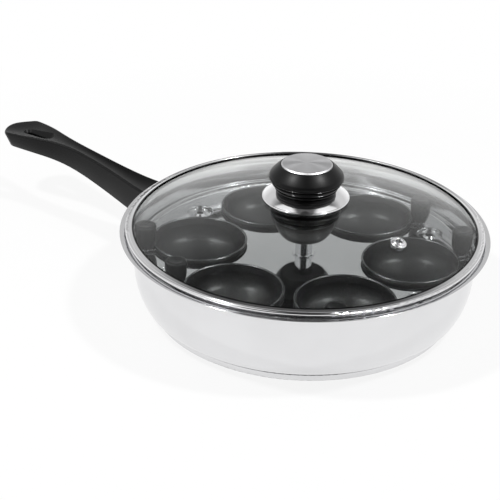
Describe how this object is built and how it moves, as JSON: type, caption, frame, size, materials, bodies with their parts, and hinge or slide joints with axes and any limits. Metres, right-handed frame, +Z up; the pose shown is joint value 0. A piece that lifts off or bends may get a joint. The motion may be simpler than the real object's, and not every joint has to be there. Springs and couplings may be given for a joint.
{
  "type": "egg poacher pan",
  "caption": "Lidded steel pan with a flared lip, long black handle and domed glass lid, holding a lift-out tray of non-stick cups that poach eggs over steam",
  "frame": {"origin": "Middle of the flat underside of the base, on the pan's axis", "axes": "+Z is up along the pan's axis, the handle lies along -X, and +Y completes the right-handed frame"},
  "size_m": [0.473, 0.2858, 0.1201],
  "materials": {
    "pan_steel": "polished",
    "tray_steel": "mirror polished",
    "rim_steel": "polished",
    "cap_steel": "satin with a polished bevel",
    "ear_steel": "plain",
    "screw_steel": "plain",
    "core_aluminium": "plain",
    "cup_nonstick": "dark speckled non-stick coating",
    "black_phenolic": "satin",
    "lid_glass": "clear, tempered",
    "insert_brass": "plain",
    "gasket_silicone": "matte"
  },
  "bodies": {
    "pan": {"pan_shell": "pan_steel", "base_core": "core_aluminium", "base_capsule": "pan_steel", "handle": "black_phenolic", "handle_bracket": "pan_steel", "handle_screw": "screw_steel"},
    "tray": {"tray_plate": "tray_steel", "tray_skirt": "tray_steel", "tray_stem": "tray_steel", "tray_knob": "black_phenolic", "tray_knob_insert": "insert_brass", "tray_screw": "screw_steel"},
    "cup_body_1": {"cup_1": "cup_nonstick", "cup_ear_1": "ear_steel", "cup_knob_1": "black_phenolic", "cup_screw_1": "screw_steel"},
    "cup_body_2": {"cup_2": "cup_nonstick", "cup_ear_2": "ear_steel", "cup_knob_2": "black_phenolic", "cup_screw_2": "screw_steel"},
    "cup_body_3": {"cup_3": "cup_nonstick", "cup_ear_3": "ear_steel", "cup_knob_3": "black_phenolic", "cup_screw_3": "screw_steel"},
    "cup_body_4": {"cup_4": "cup_nonstick", "cup_ear_4": "ear_steel", "cup_knob_4": "black_phenolic", "cup_screw_4": "screw_steel"},
    "cup_body_5": {"cup_5": "cup_nonstick", "cup_ear_5": "ear_steel", "cup_knob_5": "black_phenolic", "cup_screw_5": "screw_steel"},
    "cup_body_6": {"cup_6": "cup_nonstick", "cup_ear_6": "ear_steel", "cup_knob_6": "black_phenolic", "cup_screw_6": "screw_steel"},
    "lid": {"lid_glass": "lid_glass", "lid_rim": "rim_steel", "lid_knob": "black_phenolic", "lid_knob_cap": "cap_steel", "lid_knob_bezel": "rim_steel", "lid_knob_insert": "insert_brass", "lid_gasket": "gasket_silicone", "lid_washer": "screw_steel", "lid_screw": "screw_steel", "vent_eyelet": "rim_steel"}
  },
  "joints": [
    {"name": "tray_lift", "type": "slide", "parent": "pan", "child": "tray", "axis": [0, 0, 1], "range_m": [0, 0.1]},
    {"name": "cup_1_lift", "type": "slide", "parent": "tray", "child": "cup_body_1", "axis": [0, 0, 1], "range_m": [0, 0.075]},
    {"name": "cup_2_lift", "type": "slide", "parent": "tray", "child": "cup_body_2", "axis": [0, 0, 1], "range_m": [0, 0.075]},
    {"name": "cup_3_lift", "type": "slide", "parent": "tray", "child": "cup_body_3", "axis": [0, 0, 1], "range_m": [0, 0.075]},
    {"name": "cup_4_lift", "type": "slide", "parent": "tray", "child": "cup_body_4", "axis": [0, 0, 1], "range_m": [0, 0.075]},
    {"name": "cup_5_lift", "type": "slide", "parent": "tray", "child": "cup_body_5", "axis": [0, 0, 1], "range_m": [0, 0.075]},
    {"name": "cup_6_lift", "type": "slide", "parent": "tray", "child": "cup_body_6", "axis": [0, 0, 1], "range_m": [0, 0.075]},
    {"name": "lid_lift", "type": "slide", "parent": "cup_body_1", "child": "lid", "axis": [0, 0, 1], "range_m": [0, 0.12]}
  ],
  "couplings": [
    {"joint": "cup_2_lift", "follows": "cup_1_lift", "ratio": 1},
    {"joint": "cup_3_lift", "follows": "cup_1_lift", "ratio": 1},
    {"joint": "cup_4_lift", "follows": "cup_1_lift", "ratio": 1},
    {"joint": "cup_5_lift", "follows": "cup_1_lift", "ratio": 1},
    {"joint": "cup_6_lift", "follows": "cup_1_lift", "ratio": 1}
  ]
}
